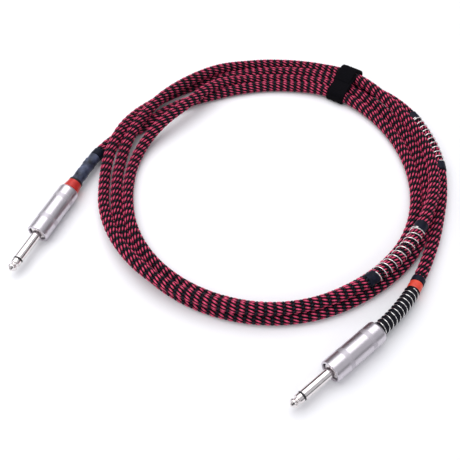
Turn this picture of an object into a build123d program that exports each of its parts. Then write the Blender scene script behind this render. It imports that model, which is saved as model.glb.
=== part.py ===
from build123d import *
import math
import os

# Instrument lead: two 6.35 mm phone plugs on one braided cord, wound clockwise into a
# tied coil that lies on a flat surface. Millimetres. +Z is up and the surface is z = 0.

os.makedirs("parts", exist_ok=True)

# ---------------------------------------------------------------- driving dimensions
CORD_D = 7.6
CORD_R = CORD_D / 2
COIL_CENTRE = Vector(24.3, 22.9)

SHAFT_R = 3.175
SHAFT_LENGTH = 31.0
BARREL_R = 7.25
BARREL_LENGTH = 41.0
BARREL_BORE_R = 6.1
MOUTH_R = 5.75
CABLE_HOLE_R = 5.5
SHOULDER_R = 1.7
LIP_R = 0.7
# How far the middle of a quarter round lies inside its corner, as a share of its radius.
ROUNDING = 1 - 0.5**0.5
THREAD_R = 5.45
THREAD_CLEARANCE = 0.2
ROD_R = 1.2
INSULATOR_R = 1.85
SLEEVE_BORE_R = 1.9

PLUG_A_FRONT = Vector(-160.0, -55.0)
PLUG_A_HEADING = 67.0
PLUG_B_FRONT = Vector(26.0, -152.4)
PLUG_B_HEADING = 40.0

WIRE_R = 0.45
WINDING_R = CORD_R + WIRE_R
WINDING_TURNS = 11
BAND_R = CORD_R + 0.55

STRAP_ANGLE = 57.0
STRAP_WIDTH = 14.5
STRAP_THICKNESS = 1.5

# Polar stations of the coil every 30 degrees, counted anticlockwise from +X: the radius
# of the innermost and of the outermost strand's centre line.
STATION_STEP = 30
INNER_RADII = [99.2, 100.4, 100.2, 97.0, 99.2, 99.8, 103.2, 109.6, 110.8, 107.8, 104.2, 102.4]
OUTER_RADII = [120.6, 124.4, 125.0, 123.2, 116.0, 119.8, 122.2, 119.8, 117.2, 114.8, 111.4, 113.2]
LOWER_LAYER_HEIGHT = 8.2

# The strand that rides on top of the others from the strap round to the lower left:
# radius of its centre line every 30 degrees, clockwise from 60 down to -120 degrees.
RIDGE_FIRST_ANGLE = 60
RIDGE_RADII = [120.6, 117.6, 114.8, 107.8, 107.4, 110.8, 117.0]
RIDGE_TOP = 13.6


def polar(radius, angle, height=0.0):
    """A point of the coil from its radius and its angle in degrees."""
    turn = math.radians(angle)
    return Vector(
        COIL_CENTRE.X + radius * math.cos(turn),
        COIL_CENTRE.Y + radius * math.sin(turn),
        height,
    )


def clockwise_tangent(angle):
    """Direction of a clockwise strand where it crosses the given angle."""
    turn = math.radians(angle)
    return Vector(math.sin(turn), -math.cos(turn), 0)


def save(part, label):
    part.label = label
    export_step(part, "parts/" + label + ".step")


# ---------------------------------------------------------------- plugs
def plug_plane(front, heading):
    """Plane through a plug's axis: x towards the tip, y up, origin at the barrel's front."""
    turn = math.radians(heading)
    towards_tip = Vector(-math.cos(turn), -math.sin(turn), 0)
    sideways = towards_tip.cross(Vector(0, 0, 1))
    centre = Vector(front.X, front.Y, 0) + Vector(COIL_CENTRE.X, COIL_CENTRE.Y, BARREL_R)
    return Plane(origin=centre, x_dir=towards_tip, z_dir=sideways)


def turned(plane, outline):
    """A turned piece: the outline's points are (distance towards the tip, radius)."""
    with BuildPart() as piece:
        with BuildSketch(plane):
            with BuildLine():
                Polyline(*outline, close=True)
            make_face()
        revolve(axis=Axis(plane.origin, plane.x_dir))
    return piece.part


def across(plane, distance):
    """Plane square to a plug's axis at a distance from the barrel's front, z to the tip."""
    centre = plane.origin + plane.x_dir * distance
    return Plane(origin=centre, x_dir=Vector(0, 0, 1), z_dir=plane.x_dir)


def tip_contact(plane):
    """Tip with its base ring, groove and blunt point, in one piece with the long rod."""
    with BuildPart() as piece:
        with BuildSketch(plane):
            with BuildLine():
                Polyline((-13.2, 0), (-13.2, ROD_R), (22.7, ROD_R), (22.7, SHAFT_R))
                Line((22.7, SHAFT_R), (25.4, SHAFT_R))
                ThreePointArc((25.4, SHAFT_R), (26.3, 2.1), (27.3, 2.5))
                ThreePointArc((27.3, 2.5), (28.2, 3.0), (29.0, 2.75))
                Polyline((29.0, 2.75), (30.6, 1.15), (SHAFT_LENGTH, 0.5))
                Polyline((SHAFT_LENGTH, 0.5), (SHAFT_LENGTH, 0), (-13.2, 0))
            make_face()
        revolve(axis=Axis(plane.origin, plane.x_dir))
    return piece.part


def tip_insulator(plane):
    bore = ROD_R + 0.02
    ring = [(21.5, INSULATOR_R), (21.5, SHAFT_R), (22.68, SHAFT_R), (22.68, bore)]
    return turned(plane, [(-11.0, bore), (-11.0, INSULATOR_R)] + ring)


def sleeve_contact(plane):
    """Shaft, the hexagon nut seen inside the barrel's mouth, and the threaded bushing."""
    with BuildPart() as piece:
        with BuildSketch(plane):
            with BuildLine():
                Polyline(
                    (-11.0, SLEEVE_BORE_R),
                    (-11.0, THREAD_R - 0.4),
                    (-10.6, THREAD_R),
                    (-3.4, THREAD_R),
                    (-3.4, SHAFT_R),
                    (21.1, SHAFT_R),
                    (21.48, SHAFT_R - 0.25),
                    (21.48, SLEEVE_BORE_R),
                    close=True,
                )
            make_face()
        revolve(axis=Axis(plane.origin, plane.x_dir))
        with BuildSketch(across(plane, -3.4)):
            RegularPolygon(radius=5.35, side_count=6)
            Circle(SHAFT_R - 0.5, mode=Mode.SUBTRACT)
        extrude(amount=2.2)
    return piece.part


def rear_washer(plane):
    return turned(plane, [(-12.2, ROD_R + 0.02), (-12.2, 4.2), (-11.05, 4.2), (-11.05, ROD_R + 0.02)])


def hot_lug(plane):
    """Solder tag of the tip: an eye on the rod and a tab bent back along the axis."""
    tab_offset = 2.4
    with BuildPart() as piece:
        with BuildSketch(across(plane, -12.8)):
            Circle(2.7)
            Circle(ROD_R + 0.02, mode=Mode.SUBTRACT)
        extrude(amount=0.55)
        with BuildSketch(across(plane, -12.25)):
            with Locations((tab_offset, 0)):
                Rectangle(0.55, 3.0)
        extrude(amount=-8.5)
    return piece.part


def ground_lug(plane):
    """Strip from the bushing's back to the cable clamp, and the clamp's open cradle."""
    strip_offset = -4.55
    clamp_r = 3.75
    clamp_wall = 0.6
    with BuildPart() as piece:
        with BuildSketch(across(plane, -11.05)):
            with Locations((strip_offset, 0)):
                Rectangle(clamp_wall, 3.6)
        extrude(amount=-22.0)
        with BuildSketch(across(plane, -27.0)):
            Circle(clamp_r + clamp_wall + 0.45)
            Circle(clamp_r, mode=Mode.SUBTRACT)
            with Locations((4.2, 0)):
                Rectangle(7.0, 14.0, mode=Mode.SUBTRACT)
        extrude(amount=-6.0)
    return piece.part


def insulating_tube(plane):
    return turned(plane, [(-35.6, 5.45), (-35.6, 5.95), (-12.9, 5.95), (-12.9, 5.45)])


def barrel(plane):
    """Screw-on handle: rounded shoulder, cable hole, bore, female thread, open mouth."""
    rear = -BARREL_LENGTH
    with BuildPart() as piece:
        with BuildSketch(plane):
            with BuildLine():
                shoulder_start = Vector(rear, BARREL_R - SHOULDER_R)
                shoulder_end = Vector(rear + SHOULDER_R, BARREL_R)
                lip_start = Vector(-LIP_R, BARREL_R)
                lip_end = Vector(0.0, BARREL_R - LIP_R)
                Line((rear, CABLE_HOLE_R), shoulder_start)
                ThreePointArc(
                    shoulder_start,
                    (rear + SHOULDER_R * ROUNDING, BARREL_R - SHOULDER_R * ROUNDING),
                    shoulder_end,
                )
                Line(shoulder_end, lip_start)
                ThreePointArc(lip_start, (-LIP_R * ROUNDING, BARREL_R - LIP_R * ROUNDING), lip_end)
                Polyline(
                    lip_end,
                    (0.0, BARREL_R - 1.3),
                    (-0.9, MOUTH_R),
                    (-2.0, MOUTH_R),
                    (-2.4, THREAD_R + THREAD_CLEARANCE),
                    (-11.6, THREAD_R + THREAD_CLEARANCE),
                    (-12.4, BARREL_BORE_R),
                    (rear + 4.5, BARREL_BORE_R),
                    (rear + 3.0, CABLE_HOLE_R),
                    (rear, CABLE_HOLE_R),
                )
            make_face()
        revolve(axis=Axis(plane.origin, plane.x_dir))
    return piece.part


def cord_end(plane, name):
    """The stripped end of the cord: jacket, white dielectric, core, and shield pigtail."""
    save(turned(plane, [(-36.0, 0), (-36.0, 3.0), (-24.0, 3.0), (-24.0, 0)]), "inner_jacket_" + name)
    save(turned(plane, [(-24.0, 0), (-24.0, 1.5), (-17.8, 1.5), (-17.8, 0)]), "dielectric_" + name)
    with BuildPart() as core:
        with BuildLine() as core_path:
            start = plane.from_local_coords(Vector(-17.65, 0, 0))
            middle = plane.from_local_coords(Vector(-16.2, 0.4, 0))
            end = plane.from_local_coords(Vector(-14.6, 1.55, 0))
            FilletPolyline(start, middle, end, radius=1.0)
        with BuildSketch(Plane(origin=start, z_dir=core_path.line % 0)):
            Circle(0.5)
        sweep()
    save(core.part, "core_wire_" + name)
    with BuildPart() as pigtail:
        with BuildLine() as pigtail_path:
            first = plane.from_local_coords(Vector(-23.9, -2.2, 0))
            second = plane.from_local_coords(Vector(-21.6, -2.6, 0))
            third = plane.from_local_coords(Vector(-19.6, -3.5, 0))
            FilletPolyline(first, second, third, radius=1.5)
        with BuildSketch(Plane(origin=first, z_dir=pigtail_path.line % 0)):
            Circle(0.7)
        sweep()
    save(pigtail.part, "shield_pigtail_" + name)


PLANES = {
    "a": plug_plane(PLUG_A_FRONT, PLUG_A_HEADING),
    "b": plug_plane(PLUG_B_FRONT, PLUG_B_HEADING),
}
PLUG_PIECES = {
    "tip_contact": tip_contact,
    "tip_insulator": tip_insulator,
    "sleeve_contact": sleeve_contact,
    "rear_washer": rear_washer,
    "hot_lug": hot_lug,
    "ground_lug": ground_lug,
    "insulating_tube": insulating_tube,
    "barrel": barrel,
}
for plug_name, axis_plane in PLANES.items():
    for piece_name, make_piece in PLUG_PIECES.items():
        save(make_piece(axis_plane), piece_name + "_" + plug_name)
    cord_end(axis_plane, plug_name)

# Plug A's boot: the coloured ring behind the barrel and the thin black lip behind it.
# Both slide back with the barrel, so their bores clear the grey tube.
rear = -BARREL_LENGTH
boot_bore = 4.65
ring_outline = [(rear - 7.0, boot_bore), (rear - 7.0, 4.95), (rear - 0.1, 5.9), (rear - 0.1, boot_bore)]
save(turned(PLANES["a"], ring_outline), "red_ring_a")
lip_outline = [(rear - 8.6, boot_bore), (rear - 8.6, 5.0), (rear - 7.05, 5.0), (rear - 7.05, boot_bore)]
save(turned(PLANES["a"], lip_outline), "black_lip_a")


# ---------------------------------------------------------------- the cord's two tails
def plug_point(name, distance):
    """A point on a plug's axis, at a distance behind the barrel's front."""
    return PLANES[name].origin - PLANES[name].x_dir * distance


def route_point(x, y, z):
    return Vector(COIL_CENTRE.X + x, COIL_CENTRE.Y + y, z)


# Route points from inside each barrel to the coil. Each tail is straight behind its
# barrel, for the barrel's travel, and then comes down to the surface.
TAIL_A = [
    plug_point("a", 36.0),
    plug_point("a", 52.0),
    route_point(-133.2, 8.8, 6.9),
    route_point(-126.4, 23.4, 5.6),
    route_point(-117.4, 36.6, 4.2),
]
TAIL_B = [
    plug_point("b", 36.0),
    plug_point("b", 50.0),
    route_point(74.6, -109.6, 6.9),
    route_point(83.8, -97.6, 6.0),
    route_point(91.7, -84.4, 4.9),
    route_point(98.8, -71.0, 4.1),
    route_point(105.2, -57.0, 3.85),
    route_point(110.6, -42.3, 3.85),
]


def corner_radii(points):
    """Arc radius at each inner corner: 0.45 of the shorter run over tan(half turn)."""
    radii = []
    for before, corner, after in zip(points, points[1:], points[2:]):
        run_in = corner - before
        run_out = after - corner
        half_turn = math.radians(run_in.get_angle(run_out)) / 2
        radii.append(0.45 * min(run_in.length, run_out.length) / math.tan(half_turn))
    return radii


def tail_path(points):
    with BuildLine() as path:
        FilletPolyline(*points, radius=corner_radii(points))
    return path.wires()[0]


def tube_along(path, outer_r, inner_r=0.0):
    with BuildPart() as tube:
        with BuildSketch(Plane(origin=path @ 0, z_dir=path % 0)):
            Circle(outer_r)
            if inner_r:
                Circle(inner_r, mode=Mode.SUBTRACT)
        sweep(path=path)
    return tube.part


def stretch(path, start, end):
    """The piece of a path between two distances from its first point."""
    return path.trim(start / path.length, end / path.length)


PATH_A = tail_path(TAIL_A)
PATH_B = tail_path(TAIL_B)
for tail_name, tail, tail_points in (("a", PATH_A, TAIL_A), ("b", PATH_B, TAIL_B)):
    solid = tube_along(tail, CORD_R)
    expected = math.pi * CORD_R**2 * tail.length
    radii_text = [round(radius) for radius in corner_radii(tail_points)]
    print("tail", tail_name, "length", round(tail.length, 1), "radii", radii_text)
    print("   volume", round(solid.volume), "section x length", round(expected))
    save(solid, "cord_tail_" + tail_name)

# Sleeves on the tails, by distance from the tail's first point, 5 mm inside the barrel.
TUBE_START = 5.6
TUBE_END = 40.0
save(tube_along(stretch(PATH_A, TUBE_START, TUBE_END), CORD_R + 0.45, CORD_R), "grey_tube_a")
save(tube_along(stretch(PATH_A, TUBE_END, TUBE_END + 6.0), CORD_R + 0.3, CORD_R), "black_band_a")

STRAIN_START = 2.0
STRAIN_END = 43.5
STRAIN_R = 4.35
save(tube_along(stretch(PATH_B, STRAIN_START, STRAIN_END), STRAIN_R, CORD_R), "strain_sleeve_b")
RED_END = STRAIN_END + 6.2
save(tube_along(stretch(PATH_B, STRAIN_END, RED_END), CORD_R + 0.4, CORD_R), "red_band_b")
save(tube_along(stretch(PATH_B, RED_END, RED_END + 4.6), CORD_R + 0.35, CORD_R), "black_band_b")


def wire_turn(centre, direction, ring_r):
    """One turn of winding wire round the cord."""
    with BuildPart() as ring:
        with BuildSketch(Plane(origin=centre, x_dir=(0, 0, 1), z_dir=direction)) as section:
            Circle(ring_r + WIRE_R)
            Circle(ring_r - WIRE_R, mode=Mode.SUBTRACT)
        extrude(section.sketch, amount=WIRE_R, both=True)
        fillet(ring.edges().filter_by(GeomType.CIRCLE), WIRE_R * 0.6)
    return ring.part


STRAIN_TURNS = 11
STRAIN_PITCH = 3.45
strain_wire = []
for turn_index in range(STRAIN_TURNS):
    along = (STRAIN_START + 4.6 + turn_index * STRAIN_PITCH) / PATH_B.length
    strain_wire.append(wire_turn(PATH_B @ along, PATH_B % along, STRAIN_R + 0.3))
save(Compound(children=strain_wire), "strain_wire_b")


# ---------------------------------------------------------------- the coil
def outline_spline(radii, offset):
    """Closed smooth outline through the stations, moved outwards by offset."""
    points = []
    for index, radius in enumerate(radii):
        points.append(polar(radius + offset, index * STATION_STEP))
    return Spline(*points, periodic=True)


def ridge_points(offset):
    points = []
    for index, radius in enumerate(RIDGE_RADII):
        points.append(polar(radius + offset, RIDGE_FIRST_ANGLE - index * STATION_STEP))
    return points


with BuildPart() as cord_coil:
    with BuildSketch():
        with BuildLine():
            outline_spline(OUTER_RADII, CORD_R)
        make_face()
        with BuildLine():
            outline_spline(INNER_RADII, -CORD_R)
        make_face(mode=Mode.SUBTRACT)
    extrude(amount=LOWER_LAYER_HEIGHT)
    with BuildSketch():
        with BuildLine():
            outer_edge = ridge_points(CORD_R - 0.4)
            inner_edge = ridge_points(0.4 - CORD_R)
            Spline(*outer_edge)
            Spline(*inner_edge)
            Line(outer_edge[0], inner_edge[0])
            Line(outer_edge[-1], inner_edge[-1])
        make_face()
    extrude(amount=RIDGE_TOP)
save(cord_coil.part, "cord_coil")


# ---------------------------------------------------------------- windings on the coil
# (name, first angle, last angle, strand radius at each end, strand height)
WINDINGS = [
    ("lower", -27.0, -60.0, 108.4, 107.2, 9.8),
    ("upper", 29.0, 1.0, 123.2, 121.0, 4.75),
]
BAND_LENGTH = 7.5


def band(centre, direction):
    """Shrink band that holds one end of a winding."""
    with BuildPart() as piece:
        with BuildSketch(Plane(origin=centre, z_dir=direction)):
            Circle(BAND_R)
            Circle(CORD_R, mode=Mode.SUBTRACT)
        extrude(amount=BAND_LENGTH / 2, both=True)
    return piece.part


for place, first_angle, last_angle, first_r, last_r, height in WINDINGS:
    mean_r = (first_r + last_r) / 2
    band_angle = math.degrees(BAND_LENGTH / mean_r)
    span = first_angle - last_angle - 2 * band_angle
    turns = []
    for turn_index in range(WINDING_TURNS):
        share = (turn_index + 0.5) / WINDING_TURNS
        angle = first_angle - band_angle - share * span
        radius = first_r + (last_r - first_r) * share
        turns.append(wire_turn(polar(radius, angle, height), clockwise_tangent(angle), WINDING_R))
    save(Compound(children=turns), "winding_wire_" + place)
    near = first_angle - band_angle / 2
    far = last_angle + band_angle / 2
    save(band(polar(first_r, near, height), clockwise_tangent(near)), "winding_band_" + place + "_near")
    save(band(polar(last_r, far, height), clockwise_tangent(far)), "winding_band_" + place + "_far")

# ---------------------------------------------------------------- hook-and-loop strap
STRAP_INNER_EDGE = 95.0
STRAP_OUTER_EDGE = 130.4
STRAP_TOP = 14.4
STRAP_CORNER = 5.5
radial = polar(1.0, STRAP_ANGLE) - Vector(COIL_CENTRE.X, COIL_CENTRE.Y, 0)
strap_plane = Plane(
    origin=polar(0.0, STRAP_ANGLE),
    x_dir=radial,
    z_dir=radial.cross(Vector(0, 0, 1)),
)
strap_mid = (STRAP_INNER_EDGE + STRAP_OUTER_EDGE) / 2
strap_span = STRAP_OUTER_EDGE - STRAP_INNER_EDGE
with BuildPart() as strap_band:
    with BuildSketch(strap_plane):
        with Locations((strap_mid, STRAP_TOP / 2)):
            RectangleRounded(strap_span, STRAP_TOP, STRAP_CORNER)
            RectangleRounded(
                strap_span - 2 * STRAP_THICKNESS,
                STRAP_TOP - 2 * STRAP_THICKNESS,
                STRAP_CORNER - STRAP_THICKNESS,
                mode=Mode.SUBTRACT,
            )
    extrude(amount=STRAP_WIDTH / 2, both=True)
save(strap_band.part, "strap_band")

# The strap's free end lies pressed on its own back and peels up about its inner edge,
# which is rounded about the line that it turns on.
TAB_HINGE = 108.0
TAB_OUTER_EDGE = 124.0
TAB_THICKNESS = 1.3
TAB_GAP = 0.05
tab_middle = STRAP_TOP + TAB_GAP + TAB_THICKNESS / 2
with BuildPart() as strap_tab:
    with BuildSketch(strap_plane):
        with Locations(((TAB_HINGE + TAB_OUTER_EDGE) / 2, tab_middle)):
            Rectangle(TAB_OUTER_EDGE - TAB_HINGE, TAB_THICKNESS)
        with Locations((TAB_HINGE, tab_middle)):
            Circle(TAB_THICKNESS / 2)
    extrude(amount=STRAP_WIDTH / 2 - 0.4, both=True)
save(strap_tab.part, "strap_tab")
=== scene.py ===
import math

import bpy
import numpy as np
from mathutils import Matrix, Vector


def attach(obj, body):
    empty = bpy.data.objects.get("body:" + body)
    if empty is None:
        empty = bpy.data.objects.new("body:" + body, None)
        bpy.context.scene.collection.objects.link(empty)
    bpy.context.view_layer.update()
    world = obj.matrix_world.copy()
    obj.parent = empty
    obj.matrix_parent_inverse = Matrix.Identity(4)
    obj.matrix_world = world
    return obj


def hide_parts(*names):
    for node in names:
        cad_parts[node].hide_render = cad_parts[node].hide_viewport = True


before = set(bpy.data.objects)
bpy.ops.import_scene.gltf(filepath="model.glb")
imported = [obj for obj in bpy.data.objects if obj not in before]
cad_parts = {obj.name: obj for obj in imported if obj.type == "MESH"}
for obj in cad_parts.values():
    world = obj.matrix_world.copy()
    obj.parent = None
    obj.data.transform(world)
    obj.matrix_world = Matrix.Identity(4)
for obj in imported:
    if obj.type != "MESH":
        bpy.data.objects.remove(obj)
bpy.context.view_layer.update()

# ---------------------------------------------------------------- driving dimensions
# In metres. A plug's place is the middle of its barrel's front face, in millimetres from
# the coil's centre. Its heading is the way from there to the cord, in degrees from +X.
MM = 0.001
CORD_D = 7.6 * MM
CORD_R = CORD_D / 2
COIL_CENTRE = np.array([24.3, 22.9, 0.0]) * MM
AXIS_HEIGHT = 7.25 * MM
PLUG_A_FRONT, PLUG_A_HEADING = (-160.0, -55.0), 67.0
PLUG_B_FRONT, PLUG_B_HEADING = (26.0, -152.4), 40.0
# Plug A's tube and band, by distance along the cord from its end inside plug A.
TUBE_START, TUBE_END, BAND_A_END = 5.6 * MM, 40.0 * MM, 46.2 * MM
# Plug B's strain relief and bands, by distance back from the cord's end inside plug B.
STRAIN_START, STRAIN_END, RED_END, BLACK_END = 2.0 * MM, 43.5 * MM, 49.7 * MM, 54.4 * MM
# The inner wall of every sleeve is sunk this far into the cord's surface.
SLEEVE_INNER = CORD_R - 0.2 * MM


# ---------------------------------------------------------------- camera
SENSOR_WIDTH, LENS = 36.0, 48.5
CAMERA_FROM_COIL = (-0.03135, -0.29475, 0.34375)
CAMERA_TILT = math.radians(35.86)
camera = bpy.data.objects.new("camera", bpy.data.cameras.new("camera"))
bpy.context.scene.collection.objects.link(camera)
camera.data.sensor_width = SENSOR_WIDTH
camera.data.lens = LENS
camera.data.clip_start = 0.01
camera.location = Vector(COIL_CENTRE) + Vector(CAMERA_FROM_COIL)
camera.rotation_euler = (CAMERA_TILT, 0.0, 0.0)
bpy.context.scene.camera = camera


# ---------------------------------------------------------------- the cord's route
def heading_vector(heading):
    turn = math.radians(heading)
    return np.array([math.cos(turn), math.sin(turn), 0.0])


def plug_origin(front):
    """Middle of a barrel's front face, from its place beside the coil's centre."""
    return np.array([front[0] * MM, front[1] * MM, AXIS_HEIGHT]) + COIL_CENTRE


PLUG_A, REAR_A = plug_origin(PLUG_A_FRONT), heading_vector(PLUG_A_HEADING)
PLUG_B, REAR_B = plug_origin(PLUG_B_FRONT), heading_vector(PLUG_B_HEADING)


def beside_coil(x, y, z):
    """A point given in millimetres from the coil's centre."""
    return np.array([x, y, z]) * MM + COIL_CENTRE


# The cord's ends: control points from inside each barrel to where the coil takes over.
TAIL_A = [
    PLUG_A + REAR_A * 36.0 * MM,
    PLUG_A + REAR_A * 52.0 * MM,
    beside_coil(-133.2, 8.8, 6.9),
    beside_coil(-126.4, 23.4, 5.6),
    beside_coil(-117.4, 36.6, 4.2),
]
TAIL_B = [
    PLUG_B + REAR_B * 36.0 * MM,
    PLUG_B + REAR_B * 50.0 * MM,
    beside_coil(74.6, -109.6, 6.9),
    beside_coil(83.8, -97.6, 6.0),
    beside_coil(91.7, -84.4, 4.9),
    beside_coil(98.8, -71.0, 4.1),
    beside_coil(105.2, -57.0, 3.85),
    beside_coil(110.6, -42.3, 3.85),
]

# The coil's turns, clockwise from plug A: angle in degrees anticlockwise from +X, then
# the radius and the height of the cord's centre line in millimetres. Where a turn rides
# over others its height makes a long low hump, and they all rise a little for the strap.
FLOOR = 3.8
TURN_1 = [
    (156, 111.4, FLOOR), (149, 107.2, FLOOR), (141, 104.8, FLOOR), (131, 100.9, FLOOR),
    (120, 95.6, FLOOR), (106, 94.2, FLOOR), (90, 95.0, FLOOR), (75, 97.0, 4.0),
    (66, 98.8, 5.0), (57, 100.2, 5.4), (49, 100.6, 5.0), (38, 100.6, 4.0),
    (25, 100.2, FLOOR), (10, 100.1, FLOOR), (-5, 100.9, FLOOR), (-20, 102.4, FLOOR),
    (-35, 103.9, FLOOR), (-50, 104.3, FLOOR), (-65, 105.2, FLOOR), (-80, 107.8, FLOOR),
    (-95, 109.4, FLOOR), (-110, 110.2, FLOOR), (-125, 110.7, FLOOR), (-140, 110.4, FLOOR),
    (-155, 108.5, FLOOR), (-169, 105.2, FLOOR),
]
TURN_2 = [
    (178, 103.2, FLOOR), (169, 101.4, 4.4), (161, 99.0, 6.8), (153, 95.8, 10.0),
    (145, 93.4, 11.6), (137, 92.2, 11.8), (128, 93.4, 11.8), (119, 98.0, 11.4),
    (109, 101.6, 7.8), (99, 102.6, 4.4), (87, 103.1, FLOOR), (75, 105.2, 4.0),
    (66, 107.0, 5.0), (57, 108.2, 5.4), (49, 109.9, 5.0), (38, 110.6, 4.0),
    (25, 110.0, FLOOR), (10, 109.3, FLOOR), (-3, 109.0, FLOOR), (-14, 109.9, FLOOR),
    (-26, 111.6, FLOOR), (-38, 112.2, FLOOR), (-50, 112.2, FLOOR), (-65, 113.0, FLOOR),
    (-80, 115.2, FLOOR), (-95, 116.8, FLOOR), (-110, 117.7, FLOOR), (-125, 118.2, FLOOR),
    (-140, 117.9, FLOOR), (-155, 116.1, FLOOR), (-168, 113.3, FLOOR),
]
TURN_3 = [
    (180, 112.2, 4.2), (171, 111.4, 7.0), (163, 110.6, 10.6), (155, 110.4, 11.6),
    (147, 111.4, 11.4), (138, 112.2, 11.4), (129, 112.6, 11.6), (119, 113.6, 11.5),
    (109, 116.4, 9.8), (99, 119.9, 5.4), (89, 122.4, FLOOR), (77, 123.5, 4.0),
    (67, 123.2, 5.8), (59, 121.2, 9.6), (52, 118.2, 11.6), (45, 116.4, 11.8),
    (37, 115.4, 10.8), (27, 115.3, 9.7), (15, 114.9, 9.6), (3, 114.2, 9.8),
    (-8, 112.8, 10.5), (-18, 110.4, 11.7), (-28, 108.4, 11.4), (-40, 107.7, 10.6),
    (-54, 107.7, 10.5), (-68, 109.2, 10.6), (-82, 111.5, 10.7), (-96, 113.8, 10.8),
    (-110, 116.4, 11.2), (-123, 119.0, 11.5), (-136, 121.6, 11.6), (-150, 122.4, 10.4),
    (-164, 122.4, 6.0),
]
TURN_4 = [
    (-176, 121.2, 4.4), (176, 120.6, 8.0), (168, 119.5, 11.6), (160, 118.6, 11.8),
    (152, 118.8, 8.4), (144, 118.6, 4.6), (134, 116.4, FLOOR), (121, 112.9, FLOOR),
    (107, 110.9, FLOOR), (93, 111.4, FLOOR), (80, 113.6, 4.0), (68, 115.4, 5.0),
    (59, 115.4, 4.8), (51, 119.2, FLOOR), (44, 124.2, FLOOR), (36, 125.6, 4.0),
    (27, 124.8, 4.6), (15, 123.0, 4.9), (3, 121.3, 4.8), (-9, 119.2, 4.1),
]


def coil_points():
    """Control points of the turns, set outside the line by as much as the spline cuts in."""
    stations = []
    for angle, radius, height in TURN_1 + TURN_2 + TURN_3 + TURN_4:
        while stations and angle > stations[-1][0]:
            angle -= 360
        stations.append((angle, radius, height))
    points = []
    for index, (angle, radius, height) in enumerate(stations):
        before = stations[max(index - 1, 0)][0] - angle
        after = angle - stations[min(index + 1, len(stations) - 1)][0]
        bend = math.cos(math.radians(before)) + math.cos(math.radians(after))
        reach = radius / (0.75 + 0.125 * bend)
        turn = math.radians(angle)
        points.append(beside_coil(reach * math.cos(turn), reach * math.sin(turn), height))
    return points


SPLINE_STEPS = 24


def spline_points(controls, closed):
    """Points along the smooth spline that has these control points."""
    curve = bpy.data.curves.new("line", "CURVE")
    curve.dimensions = "3D"
    curve.resolution_u = SPLINE_STEPS
    spline = curve.splines.new("NURBS")
    spline.points.add(len(controls) - 1)
    for place, control in zip(spline.points, controls):
        place.co = (*control, 1.0)
    spline.order_u = 3
    spline.use_endpoint_u = not closed
    spline.use_cyclic_u = closed
    holder = bpy.data.objects.new("line", curve)
    bpy.context.scene.collection.objects.link(holder)
    bpy.context.view_layer.update()
    line = bpy.data.meshes.new_from_object(holder)
    found = np.array([vertex.co[:] for vertex in line.vertices])
    bpy.data.objects.remove(holder)
    bpy.data.curves.remove(curve)
    bpy.data.meshes.remove(line)
    return found


class Route:
    """The cord's centre line by distance, with an outward and an upward direction."""

    def __init__(self, points, spacing=0.5 * MM):
        steps = np.linalg.norm(np.diff(points, axis=0), axis=1)
        run = np.concatenate([[0.0], np.cumsum(steps)])
        self.length = float(run[-1])
        self.at = np.linspace(0.0, self.length, int(self.length / spacing) + 1)
        self.centre = np.stack([np.interp(self.at, run, points[:, k]) for k in range(3)], axis=1)
        along = np.gradient(self.centre, self.at, axis=0)
        self.along = along / np.linalg.norm(along, axis=1)[:, None]
        side = np.cross(np.array([0.0, 0.0, 1.0]), self.along)
        self.side = side / np.linalg.norm(side, axis=1)[:, None]
        self.up = np.cross(self.along, self.side)

    def pick(self, values, distance):
        """The vectors of one kind, such as centre or side, at these distances."""
        return np.stack([np.interp(distance, self.at, values[:, k]) for k in range(3)], axis=-1)

    def surface(self, distance, turn, radius):
        """Points round the line: turn 0 is its left side and a quarter turn is its top."""
        outward = self.pick(self.side, distance) * np.cos(turn)[..., None]
        outward = outward + self.pick(self.up, distance) * np.sin(turn)[..., None]
        return self.pick(self.centre, distance) + outward * np.asarray(radius)[..., None]

    def nearest(self, point):
        """Distance along the cord of its place nearest to a point."""
        return float(self.at[np.argmin(np.linalg.norm(self.centre - point, axis=1))])


route = Route(spline_points(TAIL_A + coil_points() + TAIL_B[::-1], closed=False))


# ---------------------------------------------------------------- materials
def new_material(name, colour, roughness, **sockets):
    """A material with its Principled node: constants go on the shader's own sockets."""
    made = bpy.data.materials.new(name)
    made.use_nodes = True
    shader = made.node_tree.nodes["Principled BSDF"]
    shader.inputs["Base Color"].default_value = (*colour, 1.0)
    shader.inputs["Roughness"].default_value = roughness
    for key, value in sockets.items():
        shader.inputs[key.replace("_", " ")].default_value = value
    return made, made.node_tree, shader


def add_node(tree, kind, **settings):
    """A node with some of its sockets or properties set by name."""
    node = tree.nodes.new(kind)
    for key, value in settings.items():
        if key in node.inputs:
            node.inputs[key].default_value = value
        else:
            setattr(node, key, value)
    return node


def noise(tree, scale, detail, stretch=None, source="Object"):
    """Noise in the piece's own coordinates, in cycles to a metre."""
    where = add_node(tree, "ShaderNodeTexCoord")
    made = add_node(tree, "ShaderNodeTexNoise", Scale=scale, Detail=detail)
    link = where.outputs[source]
    if stretch:
        mapping = add_node(tree, "ShaderNodeMapping")
        mapping.inputs["Scale"].default_value = stretch
        tree.links.new(link, mapping.inputs["Vector"])
        link = mapping.outputs["Vector"]
    tree.links.new(link, made.inputs["Vector"])
    return made.outputs["Fac"]


def colour_between(tree, factor, low, high, low_at=0.3, high_at=0.7):
    """A blend from one colour to another as the factor goes from low_at to high_at."""
    ramp = add_node(tree, "ShaderNodeValToRGB")
    ramp.color_ramp.elements[0].position = low_at
    ramp.color_ramp.elements[0].color = (*low, 1.0)
    ramp.color_ramp.elements[1].position = high_at
    ramp.color_ramp.elements[1].color = (*high, 1.0)
    tree.links.new(factor, ramp.inputs["Fac"])
    return ramp.outputs["Color"]


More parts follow.
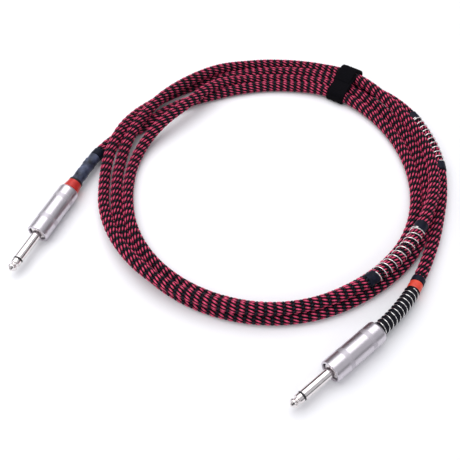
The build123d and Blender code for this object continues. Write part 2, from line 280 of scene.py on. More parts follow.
def spread(tree, factor, low, high):
    """The factor, taken from the range 0 to 1 to another range."""
    mapped = add_node(tree, "ShaderNodeMapRange")
    mapped.inputs["To Min"].default_value = low
    mapped.inputs["To Max"].default_value = high
    tree.links.new(factor, mapped.inputs["Value"])
    return mapped.outputs["Result"]


def bumped(tree, shader, height, strength, distance):
    bump = add_node(tree, "ShaderNodeBump", Strength=strength, Distance=distance)
    tree.links.new(height, bump.inputs["Height"])
    tree.links.new(bump.outputs["Normal"], shader.inputs["Normal"])


# Painted light on a yarn float: a painted highlight at its middle, at this level, and painted shade
# that darkens it towards the float's ends at this rate. The streaks along it are drawn in its own
# map, which runs from -0.5 to 0.5 along the float.
PAINTED_MIDDLE_HIGHLIGHT, PAINTED_SHADE_TO_ENDS = 0.45, -1.5
STREAK_STRETCH = (2.5, 9.0, 1.0)


def yarn_material(name, dark, light, roughness, shine):
    """Twisted filaments: streaks along each float, with a painted highlight at its middle and
    painted shade towards its ends, where it dives in.
    """
    made, tree, shader = new_material(name, light, roughness, Specular_IOR_Level=shine)
    streaks = noise(tree, 1.0, 2.0, stretch=STREAK_STRETCH, source="UV")
    where = add_node(tree, "ShaderNodeTexCoord")
    parts = add_node(tree, "ShaderNodeSeparateXYZ")
    tree.links.new(where.outputs["UV"], parts.inputs["Vector"])
    reach = add_node(tree, "ShaderNodeMath", operation="ABSOLUTE")
    tree.links.new(parts.outputs["X"], reach.inputs[0])
    # Painted shade: the float is darker towards its ends and lighter at its middle, where a painted
    # highlight stands.
    painted_end_shade = add_node(tree, "ShaderNodeMath", operation="MULTIPLY_ADD")
    tree.links.new(reach.outputs["Value"], painted_end_shade.inputs[0])
    painted_end_shade.inputs[1].default_value = PAINTED_SHADE_TO_ENDS
    painted_end_shade.inputs[2].default_value = PAINTED_MIDDLE_HIGHLIGHT
    streaks_and_painted_shade = add_node(tree, "ShaderNodeMath", operation="ADD")
    tree.links.new(painted_end_shade.outputs["Value"], streaks_and_painted_shade.inputs[0])
    tree.links.new(streaks, streaks_and_painted_shade.inputs[1])
    colour = colour_between(tree, streaks_and_painted_shade.outputs["Value"], dark, light, 0.2, 0.95)
    tree.links.new(colour, shader.inputs["Base Color"])
    bumped(tree, shader, streaks, 0.5, 0.15 * MM)
    return made


def soft_material(name, dark, light, roughness, grain, depth, shine=0.5):
    """Rubber, plastic or cloth, mottled at a grain in cycles to a metre."""
    made, tree, shader = new_material(name, light, roughness, Specular_IOR_Level=shine)
    mottle = noise(tree, grain, 4.0)
    tree.links.new(colour_between(tree, mottle, dark, light), shader.inputs["Base Color"])
    rough = spread(tree, mottle, roughness * 0.8, min(roughness * 1.25, 1.0))
    tree.links.new(rough, shader.inputs["Roughness"])
    bumped(tree, shader, mottle, 0.6, depth)
    return made


def plug_coordinate(tree, origin, rear):
    """Distance behind a barrel's front face, in metres, along its axis."""
    where = add_node(tree, "ShaderNodeTexCoord")
    moved = add_node(tree, "ShaderNodeVectorMath", operation="SUBTRACT")
    moved.inputs[1].default_value = tuple(origin)
    tree.links.new(where.outputs["Object"], moved.inputs[0])
    along = add_node(tree, "ShaderNodeVectorMath", operation="DOT_PRODUCT")
    along.inputs[1].default_value = tuple(rear)
    tree.links.new(moved.outputs["Vector"], along.inputs[0])
    return along.outputs["Value"]


def band_mask(tree, coordinate, places, width):
    """One inside each band of the given width, centred on the places, and zero outside."""
    total = None
    for place in places:
        inside = add_node(tree, "ShaderNodeMath", operation="COMPARE")
        inside.inputs[1].default_value = place
        inside.inputs[2].default_value = width / 2
        tree.links.new(coordinate, inside.inputs[0])
        if total is None:
            total = inside.outputs["Value"]
            continue
        both = add_node(tree, "ShaderNodeMath", operation="MAXIMUM")
        tree.links.new(total, both.inputs[0])
        tree.links.new(inside.outputs["Value"], both.inputs[1])
        total = both.outputs["Value"]
    return total


BAND_PLACES = (12.3 * MM, 31.2 * MM)
BAND_WIDTH = 3.4 * MM
BAND_ROUGHER = 0.24
TURNING_MARKS = 9000.0


def barrel_material(name, origin, rear):
    """Satin nickel with fine turning marks and two matte bands."""
    made, tree, shader = new_material(name, (0.64, 0.60, 0.64), 0.34, Metallic=1.0)
    along = plug_coordinate(tree, origin, rear)
    mask = band_mask(tree, along, BAND_PLACES, BAND_WIDTH)
    grain = noise(tree, 900.0, 2.0)
    rings = add_node(tree, "ShaderNodeTexNoise", Scale=TURNING_MARKS, Detail=1.0)
    rings.noise_dimensions = "1D"
    tree.links.new(along, rings.inputs["W"])
    rough = add_node(tree, "ShaderNodeMath", operation="MULTIPLY_ADD")
    tree.links.new(mask, rough.inputs[0])
    rough.inputs[1].default_value = BAND_ROUGHER
    tree.links.new(spread(tree, grain, 0.28, 0.38), rough.inputs[2])
    tree.links.new(rough.outputs["Value"], shader.inputs["Roughness"])
    colour = colour_between(tree, mask, (0.62, 0.585, 0.625), (0.55, 0.52, 0.56), 0.2, 0.8)
    tree.links.new(colour, shader.inputs["Base Color"])
    bumped(tree, shader, rings.outputs["Fac"], 0.10, 0.02 * MM)
    return made


def metal_material(name, worn, bright, roughness, grain):
    """Bare metal whose colour and polish vary at a grain in cycles to a metre."""
    made, tree, shader = new_material(name, bright, roughness, Metallic=1.0)
    marks = noise(tree, grain, 3.0)
    rough = spread(tree, marks, roughness * 0.7, roughness * 1.4)
    tree.links.new(rough, shader.inputs["Roughness"])
    tree.links.new(colour_between(tree, marks, worn, bright), shader.inputs["Base Color"])
    return made


# Each has its darker and its lighter colour, its roughness, and then its shine, or its
# grain and the depth of its relief, and its shine where that is low.
# For the yarns, the lighter colour is the painted highlight at a float's middle and the darker one
# is the painted shade at its ends, with streaks between.
CRIMSON = yarn_material("crimson_yarn", (0.20, 0.004, 0.028), (0.92, 0.085, 0.21), 0.5, 0.35)
DARK_YARN = yarn_material("black_yarn", (0.002, 0.002, 0.004), (0.006, 0.007, 0.011), 0.6, 0.12)
# Black yarn with a painted glint: its lighter navy colour stands in for light catching the crossing
# floats.
PAINTED_GLINT_YARN = yarn_material("painted_glint_yarn", (0.002, 0.002, 0.004), (0.014, 0.018, 0.032), 0.5, 0.15)
CORD_CORE = soft_material(
    "cord_core", (0.001, 0.001, 0.002), (0.004, 0.003, 0.005), 0.85, 900.0, 0.1 * MM, shine=0.1
)
SHRINK_BLACK = soft_material(
    "shrink_black", (0.002, 0.003, 0.008), (0.006, 0.008, 0.022), 0.5, 420.0, 0.06 * MM, shine=0.15
)
SHRINK_RED = soft_material(
    "shrink_red", (0.60, 0.040, 0.020), (0.78, 0.075, 0.036), 0.42, 380.0, 0.06 * MM
)
RING_RED = soft_material(
    "ring_red", (0.42, 0.012, 0.008), (0.60, 0.026, 0.014), 0.4, 380.0, 0.04 * MM
)
GREY_TUBE = soft_material(
    "grey_tube", (0.006, 0.008, 0.018), (0.088, 0.105, 0.180), 0.40, 190.0, 0.12 * MM, shine=0.3
)
RUBBER = soft_material(
    "rubber_black", (0.002, 0.002, 0.003), (0.006, 0.006, 0.008), 0.5, 700.0, 0.05 * MM, shine=0.3
)
STRAIN_BLACK = soft_material(
    "strain_black", (0.002, 0.002, 0.004), (0.006, 0.006, 0.011), 0.5, 650.0, 0.08 * MM, shine=0.12
)
STRAP_PILE = soft_material(
    "strap_pile", (0.001, 0.001, 0.001), (0.0035, 0.003, 0.006), 0.95, 1500.0, 0.25 * MM, shine=0.08
)
STEEL_WIRE = metal_material("silver_wire", (0.76, 0.74, 0.73), (0.93, 0.91, 0.89), 0.24, 1500.0)
BRIGHT_NICKEL = metal_material("bright_nickel", (0.74, 0.70, 0.70), (0.84, 0.80, 0.79), 0.14, 500.0)
TINNED = metal_material("tinned_tag", (0.60, 0.55, 0.45), (0.74, 0.70, 0.60), 0.35, 900.0)
COPPER = metal_material("bare_copper", (0.66, 0.32, 0.20), (0.80, 0.42, 0.26), 0.35, 1500.0)
INSULATOR = soft_material(
    "insulator_ring", (0.006, 0.006, 0.008), (0.020, 0.018, 0.020), 0.35, 900.0, 0.02 * MM
)
BOARD = soft_material("washer_board", (0.16, 0.07, 0.03), (0.30, 0.15, 0.07), 0.6, 800.0, 0.03 * MM)
JACKET = soft_material(
    "inner_jacket", (0.010, 0.010, 0.012), (0.022, 0.022, 0.026), 0.55, 600.0, 0.03 * MM
)
DIELECTRIC = soft_material(
    "dielectric", (0.70, 0.70, 0.68), (0.84, 0.84, 0.82), 0.5, 600.0, 0.03 * MM
)
LINER = soft_material("liner_tube", (0.06, 0.06, 0.065), (0.10, 0.10, 0.11), 0.3, 400.0, 0.02 * MM)

# Each of these nodes is in both plugs.
PLUG_MATERIALS = {
    "tip_contact": BRIGHT_NICKEL, "sleeve_contact": BRIGHT_NICKEL, "tip_insulator": INSULATOR,
    "rear_washer": BOARD, "hot_lug": TINNED, "ground_lug": TINNED, "insulating_tube": LINER,
    "inner_jacket": JACKET, "dielectric": DIELECTRIC, "core_wire": COPPER,
    "shield_pigtail": COPPER,
}


def coat(node, material):
    """Gives a CAD node this one material."""
    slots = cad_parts[node].data.materials
    slots.clear()
    slots.append(material)


for side in "ab":
    for node, material in PLUG_MATERIALS.items():
        coat(node + "_" + side, material)
coat("barrel_a", barrel_material("barrel_a_nickel", PLUG_A, REAR_A))
coat("barrel_b", barrel_material("barrel_b_nickel", PLUG_B, REAR_B))
coat("red_ring_a", RING_RED)
coat("black_lip_a", RUBBER)


# ---------------------------------------------------------------- mesh helpers
def new_piece(name, vertices, faces, material, body="root", uv=None):
    """A mesh piece. faces is a list of arrays, one array for each number of corners."""
    mesh = bpy.data.meshes.new(name)
    corners = np.concatenate([np.asarray(block).ravel() for block in faces])
    sizes = np.concatenate([np.full(len(block), np.asarray(block).shape[1]) for block in faces])
    mesh.vertices.add(len(vertices))
    mesh.vertices.foreach_set("co", np.asarray(vertices, dtype=np.float32).ravel())
    mesh.loops.add(len(corners))
    mesh.loops.foreach_set("vertex_index", corners.astype(np.int32))
    mesh.polygons.add(len(sizes))
    starts = np.concatenate([[0], np.cumsum(sizes)[:-1]])
    mesh.polygons.foreach_set("loop_start", starts.astype(np.int32))
    mesh.polygons.foreach_set("use_smooth", np.full(len(sizes), True))
    mesh.update(calc_edges=True)
    if uv is not None:
        layer = mesh.uv_layers.new(name="map")
        layer.data.foreach_set("uv", np.asarray(uv, dtype=np.float32)[corners].ravel())
    mesh.validate()
    mesh.materials.append(material)
    piece = bpy.data.objects.new(name, mesh)
    bpy.context.scene.collection.objects.link(piece)
    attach(piece, body)
    return piece


def tube_faces(rows, columns):
    """Quads of a tube, from rows that each go round it in so many columns."""
    r, c = np.meshgrid(np.arange(rows - 1), np.arange(columns), indexing="ij")
    here, right = r * columns + c, r * columns + (c + 1) % columns
    return np.stack([here, right, right + columns, here + columns], axis=-1).reshape(-1, 4)


def torus_faces(rows, columns):
    """Quads of a tube whose last row joins its first."""
    column = np.arange(columns)
    following = (column + 1) % columns
    last = (rows - 1) * columns
    joint = np.stack([last + column, last + following, following, column], axis=1)
    return np.concatenate([tube_faces(rows, columns), joint])


def end_caps(rows, columns):
    """The faces with many corners that close a tube's two ends."""
    column = np.arange(columns)
    return np.stack([column[::-1], column + (rows - 1) * columns])


def sleeve(name, along, turns, radii, material):
    """A closed sleeve on the cord, with outer radii by (along, turns) and a plain inside."""
    sides = len(turns)
    back = along[::-4]
    places = np.concatenate([along, back])
    shape = np.concatenate([radii, np.full((len(back), sides), SLEEVE_INNER)])
    distance = np.repeat(places[:, None], sides, axis=1)
    turn = np.repeat(turns[None, :], len(places), axis=0)
    points = route.surface(distance, turn, shape).reshape(-1, 3)
    uv = np.stack([distance.ravel() / CORD_D, turn.ravel() / math.tau], axis=1)
    return new_piece(name, points, [torus_faces(len(places), sides)], material, uv=uv)


def ring_turns(sides):
    """Equal turns round the cord, in radians."""
    return np.arange(sides) * math.tau / sides


def wobble(along, turns, seed, longest, waves=7):
    """Smooth unevenness over a sleeve, from a few seeded waves, about -1 to 1."""
    draw = np.random.default_rng(seed)
    total = np.zeros((len(along), len(turns)))
    for _ in range(waves):
        length = longest * draw.uniform(0.25, 1.0)
        around = draw.integers(-3, 4)
        phase = draw.uniform(0, math.tau)
        total += np.sin(along[:, None] / length * math.tau + turns[None, :] * around + phase)
    return total / math.sqrt(waves * 2.0)


# ---------------------------------------------------------------- the braided cord
CORE_R = CORD_R - 0.14 * MM
ROW_PITCH = 5.6 * MM
YARNS = 10
# A yarn moves round by one place from each row to the next.
TWIST = math.tau / YARNS / ROW_PITCH
FLOAT_SLANT = math.atan(TWIST * CORD_R)
CORE_SIDES, CORE_SPACING = 18, 1.6 * MM
core_places = np.linspace(0.0, route.length, int(route.length / CORE_SPACING))
core_points = route.surface(
    np.repeat(core_places[:, None], CORE_SIDES, axis=1),
    np.repeat(ring_turns(CORE_SIDES)[None, :], len(core_places), axis=0),
    np.full((len(core_places), CORE_SIDES), CORE_R),
)
core_faces = [
    tube_faces(len(core_places), CORE_SIDES), end_caps(len(core_places), CORE_SIDES)
]
core = new_piece("cord_core", core_points.reshape(-1, 3), core_faces, CORD_CORE)
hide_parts("cord_tail_a", "cord_tail_b", "cord_coil")


# The radius that the floats' edges lie at. Their heights are above it, and their pointed
# ends are a little below it.
BURIED_R = CORD_R - 0.18 * MM
END_R = BURIED_R - 0.1 * MM
# How unlike one another the floats are: shares of their sizes, and a spread of slants.
LENGTH_SHARES, WIDTH_SHARES, HEIGHT_SHARES = (0.90, 1.07), (0.90, 1.10), (0.85, 1.08)
SLANT_SPREAD = math.radians(1.8)


def floats(name, centres, turns, slant, length, width, height, material, seed):
    """Yarn floats: short lens-shaped lengths that rise over the core and dive back in.

    A float has a point at each end and three sections between them. Each section has five
    corners: an edge, two on top, the other edge, and one underneath, inside the core.
    """
    draw = np.random.default_rng(seed)
    count = len(centres)
    stations = np.array([-0.60, 0.0, 0.60])
    widths, heights = np.array([0.84, 1.0, 0.84]), np.array([0.70, 1.0, 0.70])
    section = np.array([-0.5, -0.24, 0.24, 0.5, 0.0])
    rise = np.array([0.05, 0.92, 0.92, 0.05, -0.9])
    span = length * draw.uniform(*LENGTH_SHARES, count)
    thick = width * draw.uniform(*WIDTH_SHARES, count)
    lean = slant + draw.normal(0.0, SLANT_SPREAD, count)
    lift = height * draw.uniform(*HEIGHT_SHARES, count)
    t = stations[None, :, None] * span[:, None, None] / 2
    w = section[None, None, :] * widths[None, :, None] * thick[:, None, None]
    cos, sin = np.cos(lean)[:, None, None], np.sin(lean)[:, None, None]
    along = centres[:, None, None] + t * cos - w * sin
    around = turns[:, None, None] + (t * sin + w * cos) / CORD_R
    over = BURIED_R + rise[None, None, :] * heights[None, :, None] * lift[:, None, None]
    ends_t = np.array([-0.5, 0.5])[None, :] * span[:, None]
    end_along = centres[:, None] + ends_t * np.cos(lean)[:, None]
    end_around = turns[:, None] + ends_t * np.sin(lean)[:, None] / CORD_R
    ring_points = route.surface(along, around, over).reshape(count, -1, 3)
    ends = route.surface(end_along, end_around, np.full(end_along.shape, END_R))
    points = np.concatenate([ring_points, ends], axis=1)
    n = len(section)
    corner = np.arange(n)
    following = (corner + 1) % n
    quads = tube_faces(len(stations), n)
    tris = np.concatenate(
        [
            np.stack([following, corner, np.full(n, 3 * n)], axis=1),
            np.stack([2 * n + corner, 2 * n + following, np.full(n, 3 * n + 1)], axis=1),
        ]
    )
    base = (np.arange(count) * (3 * n + 2))[:, None, None]
    uv_t = np.concatenate([np.repeat(stations * 0.5, n), [-0.5, 0.5]])
    uv_w = np.concatenate([np.tile(section, 3), [0.0, 0.0]])
    uv_across = uv_w[None, :] + draw.uniform(0, 40, count)[:, None]
    uv = np.stack([np.tile(uv_t, count), uv_across.ravel()], axis=1)
    blocks = [(quads[None] + base).reshape(-1, 4), (tris[None] + base).reshape(-1, 3)]
    return new_piece(name, points.reshape(-1, 3), blocks, material, uv=uv)


# The braid shows between the first shrink band and the last, and starts inside them.
BRAID_FROM = BAND_A_END - 1.7 * MM
BRAID_TO = route.length - BLACK_END + 1.4 * MM


def braid_places(ahead, between):
    """Distance and turn of each float, a share of a row ahead and of a place between."""
    rows = np.arange(BRAID_FROM + ahead * ROW_PITCH, BRAID_TO, ROW_PITCH)
    centre, yarn = np.meshgrid(rows, np.arange(YARNS) + between, indexing="ij")
    return centre.ravel(), (yarn * math.tau / YARNS + centre * TWIST).ravel()


# Name, share of a row ahead and of a place between, slant, size in millimetres (length,
# width and height), material, seed.
FLOAT_KINDS = [
    ("crimson_floats", (0.0, 0.0), FLOAT_SLANT, (4.85, 1.05, 0.60), CRIMSON, 11),
    ("black_floats", (0.0, 0.5), FLOAT_SLANT, (4.6, 1.05, 0.34), DARK_YARN, 12),
    ("crossing_floats", (0.5, 0.0), -FLOAT_SLANT, (2.7, 1.15, 0.46), PAINTED_GLINT_YARN, 13),
]
for kind, shares, slant, (length, width, height), material, seed in FLOAT_KINDS:
    centres, turns = braid_places(*shares)
    floats(kind, centres, turns, slant, length * MM, width * MM, height * MM, material, seed)


# ---------------------------------------------------------------- plug A's tubes
TUBE_ROWS, TUBE_SIDES = 150, 56
TUBE_WALL, TUBE_EDGE_STEP = 0.42 * MM, 0.12 * MM
CREASE_DEPTH, FINE_DEPTH = 0.17 * MM, 0.06 * MM
# A small bump on the tube, from a fold in it.
BUMP_BACK, BUMP_TURN = 27.5 * MM, math.radians(62.0)
BUMP_LENGTH, BUMP_SPREAD, BUMP_HEIGHT = 0.9 * MM, 0.24, 0.9 * MM


def grey_tube_radii(places, turns):
    """The wrinkled tube's outer radii: long creases, fine ones, thin ends and the bump."""
    creases = wobble(places, turns, 3, waves=9, longest=13.0 * MM) * CREASE_DEPTH
    fine = wobble(places, turns, 4, waves=11, longest=4.0 * MM) * FINE_DEPTH
    radii = CORD_R + TUBE_WALL + creases + fine
    radii[:2] -= TUBE_EDGE_STEP
    radii[-2:] -= TUBE_EDGE_STEP
    bump = np.exp(-(((places - TUBE_START - BUMP_BACK) / BUMP_LENGTH) ** 2))[:, None]
    bump = bump * np.exp(-(((turns - BUMP_TURN) / BUMP_SPREAD) ** 2))[None, :]
    return radii + bump * BUMP_HEIGHT


places, turns = np.linspace(TUBE_START, TUBE_END, TUBE_ROWS), ring_turns(TUBE_SIDES)
grey = sleeve(
    "grey_shrink_tube", places, turns, grey_tube_radii(places, turns), GREY_TUBE
)
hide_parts("grey_tube_a")

BAND_SIDES, BAND_SPACING, BAND_EDGE = 48, 0.35 * MM, 0.5 * MM


def shrink_band(name, start, end, thickness, material, seed, node, depth=0.05 * MM):
    """A short shrink band with rounded edges, uneven by about the depth."""
    count = max(int((end - start) / BAND_SPACING), 8)
    spots, turns = np.linspace(start, end, count), ring_turns(BAND_SIDES)
    round_edge = np.clip(np.minimum(spots - start, end - spots) / BAND_EDGE, 0.0, 1.0)
    radii = CORD_R + thickness * (0.55 + 0.45 * np.sqrt(round_edge))[:, None]
    radii = radii + wobble(spots, turns, seed, longest=5.0 * MM) * depth
    made = sleeve(name, spots, turns, radii, material)
    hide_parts(node)


shrink_band(
    "black_shrink_a", TUBE_END - 0.1 * MM, BAND_A_END, 0.58 * MM, SHRINK_BLACK, 21,
    "black_band_a",
)


# ---------------------------------------------------------------- wire windings
WIRE_SIDES = 8
STEPS_PER_TURN = 40


def wire_along(name, distance, turn, radius, wire_r, node):
    """A round wire that follows a path round the cord at a radius, with closed ends."""
    line = route.surface(distance, turn, np.full(len(distance), radius))
    ahead = np.gradient(line, axis=0)
    ahead = ahead / np.linalg.norm(ahead, axis=1)[:, None]
    out = line - route.pick(route.centre, distance)
    out = out / np.linalg.norm(out, axis=1)[:, None]
    side = np.cross(ahead, out)
    angle = ring_turns(WIRE_SIDES)[None, :, None]
    ring = out[:, None, :] * np.cos(angle) + side[:, None, :] * np.sin(angle)
    points = line[:, None, :] + ring * wire_r
    faces = [tube_faces(len(line), WIRE_SIDES), end_caps(len(line), WIRE_SIDES)]
    made = new_piece(name, points.reshape(-1, 3), faces, STEEL_WIRE)
    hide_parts(node)


WIRE_R = 0.40 * MM
WINDING_R = CORD_R + WIRE_R + 0.44 * MM
WINDING_TURNS = 11.0
WINDING_TURN_START = math.radians(100.0)
# The first turn is crowded against its band, into this share of its even length.
FIRST_TURN_SHARE = 0.28
# How far a winding's ends reach in under its bands.
WIRE_TUCK = 0.5 * MM


def winding(name, start, end, node):
    """An open wire winding on the cord, from one distance to another."""
    steps = int(WINDING_TURNS * STEPS_PER_TURN)
    share = np.linspace(0.0, 1.0, steps)
    first = 1.0 / WINDING_TURNS
    crowded = FIRST_TURN_SHARE * first
    even = crowded + (share - first) * (1 - crowded) / (1 - first)
    place = np.where(share < first, share * FIRST_TURN_SHARE, even)
    turn = share * WINDING_TURNS * math.tau + WINDING_TURN_START
    wire_along(name, start + (end - start) * place, turn, WINDING_R, WIRE_R, node)


def coil_place(angle, radius, height):
    """Distance along the cord of a place on the coil, given as in the turns' lists."""
    turn = math.radians(angle)
    return route.nearest(beside_coil(radius * math.cos(turn), radius * math.sin(turn), height))


BAND_LENGTH, BAND_WALL, BAND_UNEVEN = 7.5 * MM, 0.70 * MM, 0.09 * MM
WINDINGS = [
    ("lower", (-27.0, 108.4, 11.0), (-60.0, 107.2, 10.5)),
    ("upper", (29.0, 124.8, 4.6), (1.0, 121.2, 4.7)),
]
for place_name, first, last in WINDINGS:
    near, far = coil_place(*first), coil_place(*last)
    winding(
        "wire_winding_" + place_name, near + BAND_LENGTH - WIRE_TUCK,
        far - BAND_LENGTH + WIRE_TUCK, "winding_wire_" + place_name,
    )
    for end, start, seed in (("near", near, 31), ("far", far - BAND_LENGTH, 32)):
        shrink_band(
            "shrink_" + place_name + "_" + end, start, start + BAND_LENGTH, BAND_WALL,
            SHRINK_BLACK, seed, "winding_band_" + place_name + "_" + end,
            depth=BAND_UNEVEN,
        )


# ---------------------------------------------------------------- plug B's strain relief
STRAIN_PITCH = 3.45 * MM
STRAIN_R = 4.72 * MM
GROOVE_DEPTH, STRAIN_UNEVEN = 0.80 * MM, 0.05 * MM
STRAIN_ROWS, STRAIN_SIDES = 300, 48
places = route.length - np.linspace(STRAIN_END, STRAIN_START, STRAIN_ROWS)
turns = ring_turns(STRAIN_SIDES)
groove_phase = (route.length - places)[:, None] / STRAIN_PITCH - turns[None, :] / math.tau
groove = 0.5 + 0.5 * np.cos(groove_phase * math.tau)
uneven = wobble(places, turns, 6, longest=3.0 * MM) * STRAIN_UNEVEN
strain = sleeve(
    "strain_sleeve", places, turns, STRAIN_R - GROOVE_DEPTH * groove**2 + uneven, STRAIN_BLACK,
)
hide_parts("strain_sleeve_b")

# The wire lies in the groove, between these distances back from the cord's end.
STRAIN_WIRE_START, STRAIN_WIRE_END = 5.0 * MM, STRAIN_END - 1.2 * MM
STRAIN_WIRE_R, STRAIN_WIRE_DEPTH = 0.33 * MM, 0.42 * MM
wire_turns = (STRAIN_WIRE_END - STRAIN_WIRE_START) / STRAIN_PITCH
back = np.linspace(STRAIN_WIRE_START, STRAIN_WIRE_END, int(wire_turns * STEPS_PER_TURN))
wire_along(
    "strain_wire", route.length - back, back / STRAIN_PITCH * math.tau,
    STRAIN_R - STRAIN_WIRE_DEPTH, STRAIN_WIRE_R, "strain_wire_b",
)
shrink_band(
    "red_shrink_b", route.length - RED_END, route.length - STRAIN_END, 0.55 * MM, SHRINK_RED,
    41, "red_band_b", depth=0.07 * MM,
)
shrink_band(
    "black_shrink_b", route.length - BLACK_END, route.length - RED_END, 0.62 * MM, SHRINK_BLACK,
    42, "black_band_b", depth=0.06 * MM,
)


# ---------------------------------------------------------------- hook-and-loop strap
STRAP_ANGLE = math.radians(57.0)
STRAP_OUT = np.array([math.cos(STRAP_ANGLE), math.sin(STRAP_ANGLE), 0.0])
STRAP_SIDE = np.array([math.sin(STRAP_ANGLE), -math.cos(STRAP_ANGLE), 0.0])
UP = np.array([0.0, 0.0, 1.0])
STRAP_WIDTH = 14.5 * MM
STRAP_THICKNESS = 1.5 * MM


def smooth_loop(corners, count):
    """Evenly spaced points, by radius and height, of a closed line with these corners."""
    controls = [(radius * MM, height * MM, 0.0) for radius, height in corners]
    found = spline_points(controls, closed=True)[:, :2]
    found = np.concatenate([found, found[:1]])
    steps = np.linalg.norm(np.diff(found, axis=0), axis=1)
    run = np.concatenate([[0.0], np.cumsum(steps)])
    even = np.linspace(0.0, run[-1], count, endpoint=False)
    return np.stack([np.interp(even, run, found[:, k]) for k in range(2)], axis=1)


PILE_COLUMNS = 26
PILE_EDGE, PILE_EDGE_SHARE = 0.9 * MM, 0.38
PILE_FUZZ, PILE_FUZZ_SIDE = 0.085 * MM, 0.09 * MM
PILE_WAVER, PILE_WAVES = 0.16 * MM, 14
LOWEST_PILE = 0.05 * MM


def pile_section(width, thickness):
    """Corners round a strip's section, across it and inward, thinner at its two edges."""
    half = width / 2
    step = width * np.arange(PILE_COLUMNS) / (PILE_COLUMNS - 1)
    across = np.concatenate([-half + step, half - step])
    inward = np.repeat([0.0, thickness], PILE_COLUMNS)
    edge = 1.0 - np.clip((half - np.abs(across)) / PILE_EDGE, 0.0, 1.0)
    thinner = edge**2 * thickness * PILE_EDGE_SHARE
    return across, inward + np.where(inward > 0, -thinner, thinner)


def pile_strip(name, line, closed, width, thickness, shift, seed, node, body):
    """A woven strip with a fuzzy pile: line is its outer face by (radius, height)."""
    draw = np.random.default_rng(seed)
    count = len(line)
    if closed:
        ahead = np.roll(line, -1, axis=0) - np.roll(line, 1, axis=0)
    else:
        ahead = np.gradient(line, axis=0)
    ahead = ahead / np.linalg.norm(ahead, axis=1)[:, None]
    inward = np.stack([-ahead[:, 1], ahead[:, 0]], axis=1)
    across, depth = pile_section(width, thickness)
    corners = len(across)
    fuzz = draw.normal(0.0, PILE_FUZZ, (count, corners))
    fuzz_side = draw.normal(0.0, PILE_FUZZ_SIDE, (count, corners))
    waves = draw.normal(0.0, PILE_WAVER, PILE_WAVES)
    waver = np.interp(np.arange(count), np.linspace(0, count, PILE_WAVES), waves)
    inset = depth[None, :] + fuzz
    reach = line[:, None, 0] + inward[:, None, 0] * inset
    height = line[:, None, 1] + inward[:, None, 1] * inset
    sideways = across[None, :] + fuzz_side + waver[:, None] + shift
    points = (
        COIL_CENTRE
        + STRAP_OUT * reach[..., None]
        + UP * np.maximum(height, LOWEST_PILE)[..., None]
        + STRAP_SIDE * sideways[..., None]
    )
    if closed:
        faces = [torus_faces(count, corners)]
    else:
        c = np.arange(PILE_COLUMNS - 1)
        cap = np.stack([c, corners - 1 - c, corners - 2 - c, c + 1], axis=1)
        faces = [tube_faces(count, corners), cap, cap[:, ::-1] + (count - 1) * corners]
    made = new_piece(name, points.reshape(-1, 3), faces, STRAP_PILE, body=body)
    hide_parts(node)


# Corners of the loop's outer face, by radius and height in millimetres: flat below, and
# then up, over the turns and down again.
STRAP_CORNERS = [
    (104.0, 0.05), (121.0, 0.05), (128.6, 0.2), (130.6, 2.6), (131.0, 6.6), (129.6, 11.0),
    (126.4, 13.9), (120.5, 15.1), (113.5, 14.3), (105.8, 12.6), (98.9, 11.2), (95.3, 8.6),
    (94.4, 4.2), (95.4, 0.8), (98.4, 0.05),
]
LOOP_POINTS, TAB_POINTS = 230, 70
loop_line = smooth_loop(STRAP_CORNERS, LOOP_POINTS)
pile_strip(
    "strap_loop", loop_line, True, STRAP_WIDTH, STRAP_THICKNESS, 0.0, 51, "strap_band", "root"
)

# The free end follows the loop's top, from its hinge line outwards. It lies closest to the
# loop at the hinge, and is clear of it by the end of the rise.
TAB_FROM, TAB_TO = 107.6 * MM, 124.0 * MM
TAB_WIDTH, TAB_THICKNESS, TAB_SHIFT = STRAP_WIDTH - 0.7 * MM, 1.05 * MM, -1.5 * MM
TAB_GAP, TAB_GAP_MORE, TAB_RISE = 0.30 * MM, 0.85 * MM, 5.0 * MM
TOP_ABOVE = 10.0 * MM
top = loop_line[loop_line[:, 1] > TOP_ABOVE]
top = top[np.argsort(top[:, 0])]
reach = np.linspace(TAB_TO, TAB_FROM, TAB_POINTS)
gap = TAB_GAP + TAB_GAP_MORE * np.clip((reach - TAB_FROM) / TAB_RISE, 0.0, 1.0)
tab_line = np.stack([reach, np.interp(reach, top[:, 0], top[:, 1]) + gap], axis=1)
pile_strip(
    "strap_end", tab_line, False, TAB_WIDTH, TAB_THICKNESS, TAB_SHIFT, 52, "strap_tab",
    "strap_tab_peeling",
)


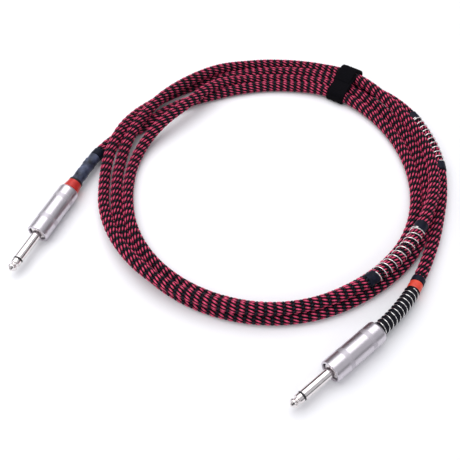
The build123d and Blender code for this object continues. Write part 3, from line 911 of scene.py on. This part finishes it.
# ---------------------------------------------------------------- floor and light
FLOOR_HALF = 12.0
floor_corners = [
    (x * FLOOR_HALF, y * FLOOR_HALF, 0) for x, y in ((-1, -1), (1, -1), (1, 1), (-1, 1))
]
floor_mesh = bpy.data.meshes.new("floor")
floor_mesh.from_pydata(floor_corners, [], [(0, 1, 2, 3)])
floor = bpy.data.objects.new("floor", floor_mesh)
bpy.context.scene.collection.objects.link(floor)
floor_mesh.materials.append(new_material("floor_white", (0.90, 0.90, 0.92), 0.6)[0])


def soft_light(name, place, size, power):
    """A white rectangular lamp that faces the middle of the floor."""
    lamp = bpy.data.lights.new(name, "AREA")
    lamp.shape = "RECTANGLE"
    lamp.size, lamp.size_y = size
    lamp.energy = power
    holder = bpy.data.objects.new(name, lamp)
    bpy.context.scene.collection.objects.link(holder)
    holder.location = place
    holder.rotation_euler = (-Vector(place)).to_track_quat("-Z", "Y").to_euler()


soft_light("overhead", (-0.25, 0.35, 1.1), (1.5, 1.3), 11.5)
soft_light("left_fill", (-1.0, -0.25, 0.7), (0.7, 0.9), 3.0)
soft_light("front_fill", (0.5, -1.1, 0.9), (1.0, 0.6), 2.5)

# A bright ceiling and a pale horizon, with a dark ring between them that draws the dark
# stripe along the metal. Each stop is a height on the sky and its brightness there.
SKY_STOPS = ((0.09, 0.80), (0.14, 0.02), (0.27, 0.02), (0.42, 0.60))
world = bpy.data.worlds.new("studio")
bpy.context.scene.world = world
world.use_nodes = True
sky = world.node_tree
background = sky.nodes["Background"]
background.inputs["Strength"].default_value = 1.0
sky_place = sky.nodes.new("ShaderNodeTexCoord")
sky_parts = sky.nodes.new("ShaderNodeSeparateXYZ")
sky.links.new(sky_place.outputs["Generated"], sky_parts.inputs["Vector"])
sky_ramp = sky.nodes.new("ShaderNodeValToRGB")
for place, _ in SKY_STOPS[1:3]:
    sky_ramp.color_ramp.elements.new(place)
for element, (place, level) in zip(sky_ramp.color_ramp.elements, SKY_STOPS):
    element.position = place
    element.color = (level, level, level * 1.05, 1.0)
sky.links.new(sky_parts.outputs["Z"], sky_ramp.inputs["Fac"])
sky.links.new(sky_ramp.outputs["Color"], background.inputs["Color"])

bpy.context.scene.view_settings.view_transform = "Standard"
